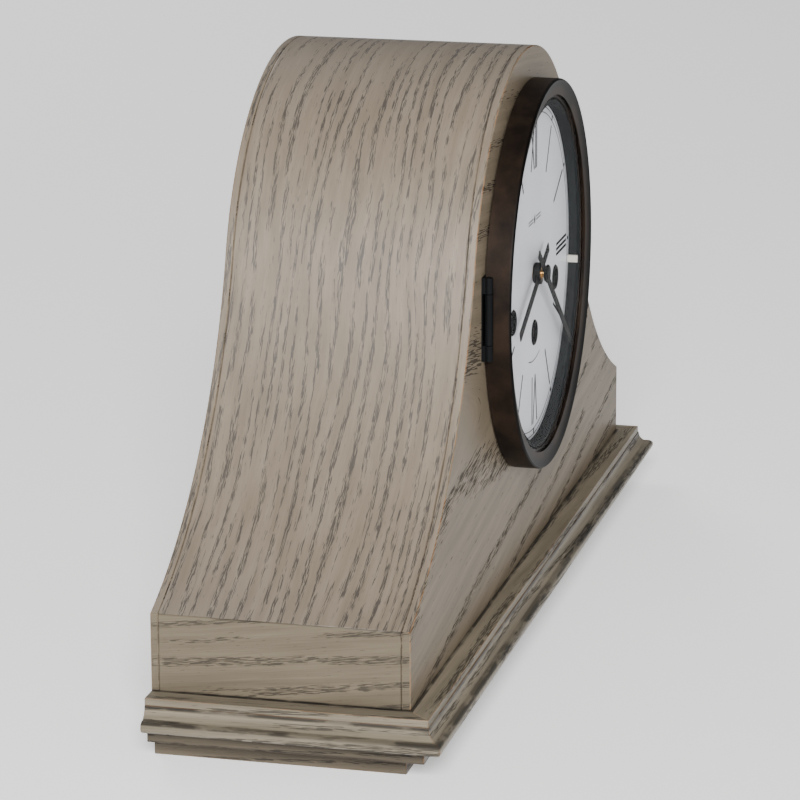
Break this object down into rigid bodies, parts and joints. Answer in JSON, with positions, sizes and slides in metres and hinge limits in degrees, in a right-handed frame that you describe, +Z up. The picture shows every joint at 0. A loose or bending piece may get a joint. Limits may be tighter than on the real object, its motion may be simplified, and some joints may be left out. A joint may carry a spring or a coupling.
{
  "type": "mantel clock",
  "caption": "Tambour mantel clock in grey-washed oak with hinged bronze bezel, white dial, black hands and a key-wound chiming movement behind a hinged back door.",
  "frame": {"origin": "centre of the underside of the plinth's case-wide footprint, at mid depth of the case", "axes": "+Z up, front of the clock faces -Y, +X to the right seen from the front"},
  "size_m": [0.478, 0.1316, 0.2673],
  "materials": {
    "oak_face": "grey-washed open-grain oak, satin",
    "oak_arch": "grey-washed open-grain oak veneer, satin",
    "oak_block": "grey-washed oak, satin",
    "oak_moulding": "grey-washed oak, satin, rubbed edges",
    "bronze": "oil-rubbed bronze, brushed",
    "glass": "clear domed glass",
    "dial_white": "matt enamel",
    "print_ink": "printed ink",
    "wall_grey": "satin dark grey",
    "catch_grey": "moulded",
    "hinge_black": "satin black",
    "hand_black": "satin black",
    "brass": "polished",
    "steel": "turned",
    "cast_iron": "painted"
  },
  "bodies": {
    "case": {"front_panel": "oak_face", "back_panel": "oak_face", "arch_top": "oak_arch", "end_block_left": "oak_block", "end_block_right": "oak_block", "floor_board": "oak_block", "moulding_front": "oak_moulding", "moulding_left": "oak_moulding", "moulding_right": "oak_moulding", "base_rail": "oak_block", "plinth_board": "oak_moulding", "dial_pan": "brass", "dial_plate": "dial_white", "dial_print": "print_ink", "dial_wall": "wall_grey", "bezel_catch": "catch_grey", "hinge_leaf_case": "hinge_black", "movement_brackets": "steel", "movement_screws": "steel", "front_plate": "brass", "back_plate": "brass", "pillars": "brass", "chime_block": "cast_iron", "chime_rods": "steel", "hammer_rail": "steel", "door_hinge_case": "brass"},
    "bezel": {"bezel_ring": "bronze", "bezel_glass": "glass", "glass_retainer": "hinge_black", "hinge_leaf_bezel": "hinge_black"},
    "door": {"back_door": "oak_face", "door_hinge_leaf": "brass"},
    "latch": {"door_latch": "brass"},
    "minute": {"minute_hand": "hand_black", "hand_nut": "hand_black", "cannon_pinion": "steel", "centre_arbor": "brass"},
    "hour": {"hour_hand": "hand_black", "hour_wheel": "brass"},
    "minute_wheel": {"minute_wheel": "brass"},
    "going_barrel": {"going_barrel": "brass"},
    "third_wheel": {"third_wheel": "brass"},
    "escape_wheel": {"escape_wheel": "brass"},
    "anchor": {"anchor": "steel"},
    "balance": {"balance_wheel": "brass"},
    "strike_barrel": {"strike_barrel": "brass"},
    "strike_wheel": {"strike_wheel": "brass"},
    "chime_barrel": {"chime_barrel": "brass"},
    "chime_wheel": {"chime_wheel": "brass"},
    "chime_drum": {"chime_drum": "brass"},
    "chime_hammer_high": {"chime_hammer_high": "steel"},
    "chime_hammer_low": {"chime_hammer_low": "steel"},
    "strike_hammer": {"strike_hammer": "steel"},
    "going_winder": {"going_winder": "steel"},
    "strike_winder": {"strike_winder": "steel"},
    "chime_winder": {"chime_winder": "steel"},
    "going_click": {"going_click": "steel"},
    "strike_click": {"strike_click": "steel"},
    "chime_click": {"chime_click": "steel"}
  },
  "joints": [
    {"name": "bezel_swing", "type": "hinge", "parent": "case", "child": "bezel", "pos_m": [-0.091, -0.059, 0.1638], "axis": [0, 0, -1], "range_deg": [0, 110]},
    {"name": "door_swing", "type": "hinge", "parent": "case", "child": "door", "pos_m": [-0.0815, 0.0576, 0.1259], "axis": [0, 0, 1], "range_deg": [0, 110]},
    {"name": "latch_turn", "type": "hinge", "parent": "door", "child": "latch", "pos_m": [0.066, 0.056, 0.1259], "axis": [0, 1, 0], "range_deg": [0, 90]},
    {"name": "minute_spin", "type": "hinge", "parent": "case", "child": "minute", "pos_m": [0, -0.056, 0.1638], "axis": [0, 1, 0], "continuous": true},
    {"name": "hour_spin", "type": "hinge", "parent": "case", "child": "hour", "pos_m": [0, -0.056, 0.1638], "axis": [0, 1, 0], "continuous": true},
    {"name": "minute_wheel_spin", "type": "hinge", "parent": "case", "child": "minute_wheel", "pos_m": [0.012, -0.05, 0.1638], "axis": [0, 1, 0], "continuous": true},
    {"name": "going_barrel_spin", "type": "hinge", "parent": "case", "child": "going_barrel", "pos_m": [0, -0.031, 0.1358], "axis": [0, 1, 0], "continuous": true},
    {"name": "third_spin", "type": "hinge", "parent": "case", "child": "third_wheel", "pos_m": [0.01013, -0.031, 0.18134], "axis": [0, 1, 0], "continuous": true},
    {"name": "escape_spin", "type": "hinge", "parent": "case", "child": "escape_wheel", "pos_m": [0.00162, -0.031, 0.19606], "axis": [0, 1, 0], "continuous": true},
    {"name": "anchor_rock", "type": "hinge", "parent": "case", "child": "anchor", "pos_m": [0.00162, -0.031, 0.20906], "axis": [0, 1, 0], "range_deg": [-2, 2]},
    {"name": "balance_swing", "type": "hinge", "parent": "case", "child": "balance", "pos_m": [-0.01937, -0.031, 0.20756], "axis": [0, 1, 0], "range_deg": [-135, 135], "stiffness_Nm_per_rad": 0.00002},
    {"name": "strike_barrel_spin", "type": "hinge", "parent": "case", "child": "strike_barrel", "pos_m": [-0.0455, -0.031, 0.1513], "axis": [0, 1, 0], "continuous": true},
    {"name": "strike_wheel_spin", "type": "hinge", "parent": "case", "child": "strike_wheel", "pos_m": [-0.05013, -0.031, 0.17755], "axis": [0, 1, 0], "continuous": true},
    {"name": "chime_barrel_spin", "type": "hinge", "parent": "case", "child": "chime_barrel", "pos_m": [0.0455, -0.031, 0.1513], "axis": [0, 1, 0], "continuous": true},
    {"name": "chime_wheel_spin", "type": "hinge", "parent": "case", "child": "chime_wheel", "pos_m": [0.05013, -0.031, 0.17755], "axis": [0, 1, 0], "continuous": true},
    {"name": "chime_drum_spin", "type": "hinge", "parent": "case", "child": "chime_drum", "pos_m": [0.0276, -0.031, 0.12574], "axis": [0, 1, 0], "continuous": true},
    {"name": "chime_hammer_high_lift", "type": "hinge", "parent": "case", "child": "chime_hammer_high", "pos_m": [0.006, 0.004, 0.1058], "axis": [0, 1, 0], "range_deg": [0, 20]},
    {"name": "chime_hammer_low_lift", "type": "hinge", "parent": "case", "child": "chime_hammer_low", "pos_m": [0.006, 0.004, 0.1058], "axis": [0, 1, 0], "range_deg": [0, 20]},
    {"name": "strike_hammer_lift", "type": "hinge", "parent": "case", "child": "strike_hammer", "pos_m": [0.006, 0.004, 0.1058], "axis": [0, 1, 0], "range_deg": [0, 20]},
    {"name": "going_winding", "type": "hinge", "parent": "case", "child": "going_winder", "pos_m": [0, -0.046, 0.1358], "axis": [0, 1, 0], "continuous": true},
    {"name": "strike_winding", "type": "hinge", "parent": "case", "child": "strike_winder", "pos_m": [-0.0455, -0.046, 0.1513], "axis": [0, 1, 0], "continuous": true},
    {"name": "chime_winding", "type": "hinge", "parent": "case", "child": "chime_winder", "pos_m": [0.0455, -0.046, 0.1513], "axis": [0, 1, 0], "continuous": true},
    {"name": "going_click_lift", "type": "hinge", "parent": "case", "child": "going_click", "pos_m": [-0.00549, -0.05, 0.14758], "axis": [0, -1, 0], "range_deg": [0, 20], "stiffness_Nm_per_rad": 0.0005},
    {"name": "strike_click_lift", "type": "hinge", "parent": "case", "child": "strike_click", "pos_m": [-0.05099, -0.05, 0.16308], "axis": [0, -1, 0], "range_deg": [0, 20], "stiffness_Nm_per_rad": 0.0005},
    {"name": "chime_click_lift", "type": "hinge", "parent": "case", "child": "chime_click", "pos_m": [0.04001, -0.05, 0.16308], "axis": [0, -1, 0], "range_deg": [0, 20], "stiffness_Nm_per_rad": 0.0005}
  ],
  "couplings": [
    {"joint": "hour_spin", "follows": "minute_spin", "ratio": 0.083333},
    {"joint": "minute_wheel_spin", "follows": "minute_spin", "ratio": -0.33333},
    {"joint": "going_barrel_spin", "follows": "minute_spin", "ratio": -0.16667},
    {"joint": "third_spin", "follows": "minute_spin", "ratio": -8},
    {"joint": "escape_spin", "follows": "minute_spin", "ratio": 60},
    {"joint": "strike_wheel_spin", "follows": "strike_barrel_spin", "ratio": -7.2},
    {"joint": "chime_wheel_spin", "follows": "chime_barrel_spin", "ratio": -7.2},
    {"joint": "chime_drum_spin", "follows": "chime_barrel_spin", "ratio": -3}
  ]
}
